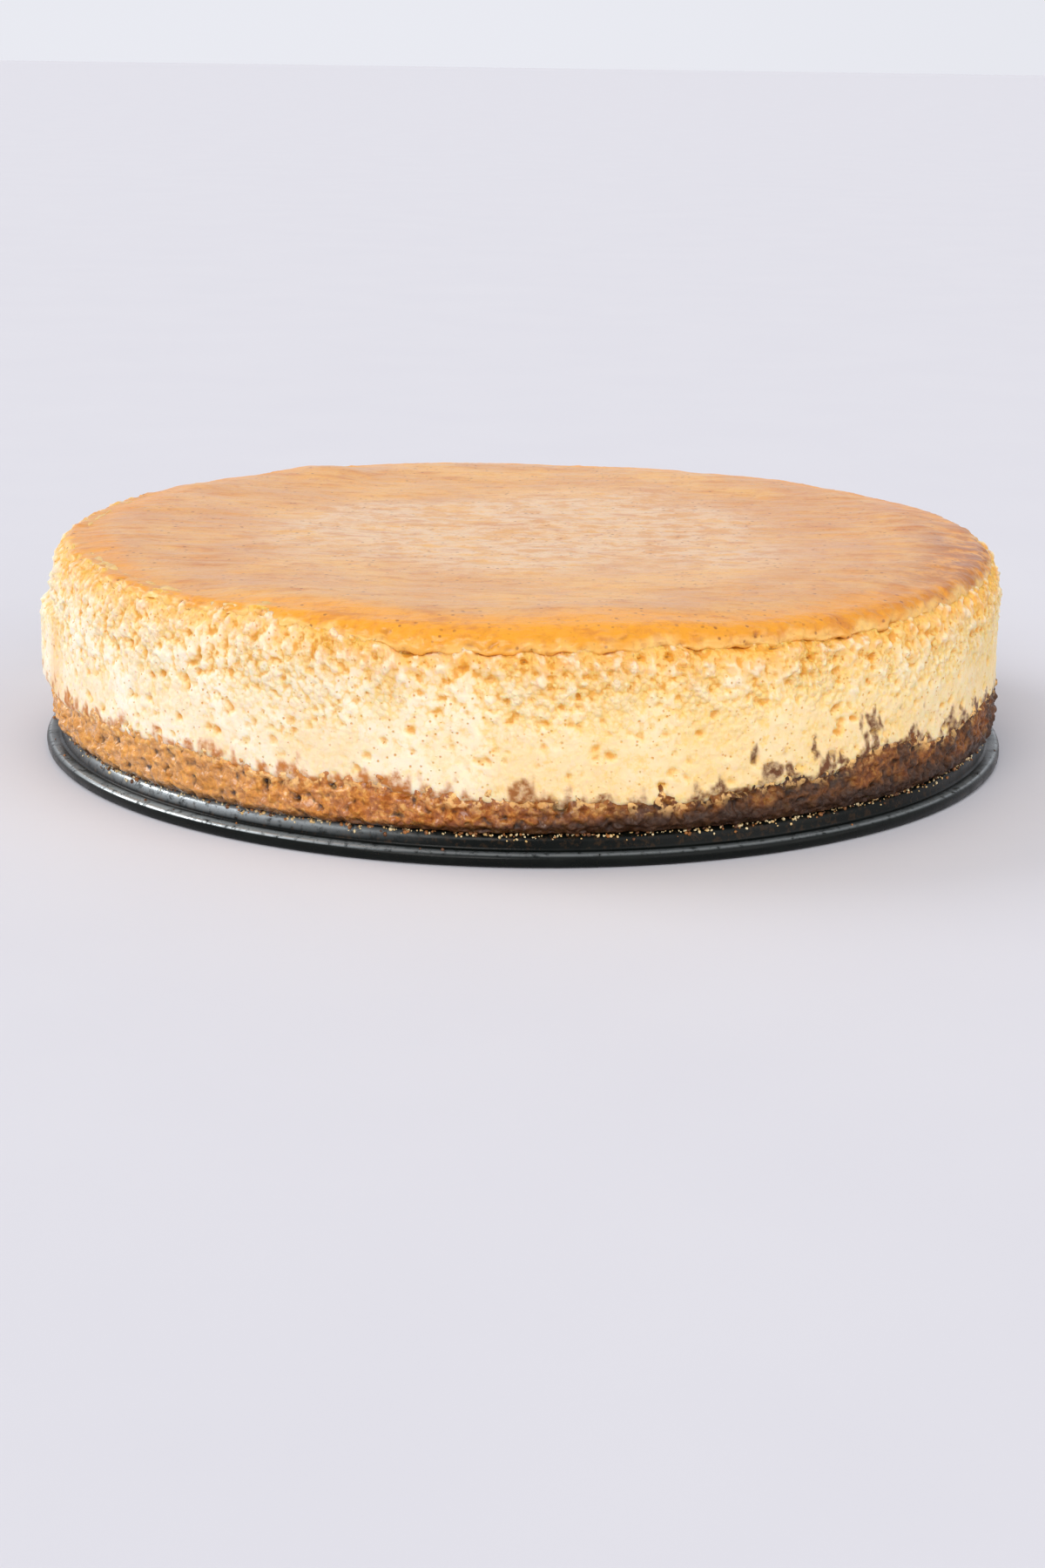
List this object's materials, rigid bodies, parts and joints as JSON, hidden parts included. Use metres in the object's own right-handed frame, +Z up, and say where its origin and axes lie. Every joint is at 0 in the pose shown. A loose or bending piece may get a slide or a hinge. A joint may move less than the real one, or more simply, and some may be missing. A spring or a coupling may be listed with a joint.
{
  "type": "baked cheesecake",
  "caption": "Whole round baked cheesecake with a glossy browned top, bare crumbly side and biscuit crumb base, standing on the loose base of its tin.",
  "frame": {"origin": "centre of the cake on the plane that the tin base stands on", "axes": "+Z up through the cake's axis, -Y towards the side seen in the picture, +X to its right"},
  "size_m": [0.2324, 0.2324, 0.0516],
  "materials": {
    "filling": "pale cream baked custard, open and crumbly at the side, glossy golden brown skin on top",
    "biscuit_crumb": "buttery pressed biscuit crumb, orange brown to dark brown",
    "tin_coating": "dark glossy non-stick coating on pressed steel"
  },
  "bodies": {
    "root": {"filling": "filling", "crumb_base": "biscuit_crumb", "tin_base": "tin_coating"}
  },
  "joints": []
}
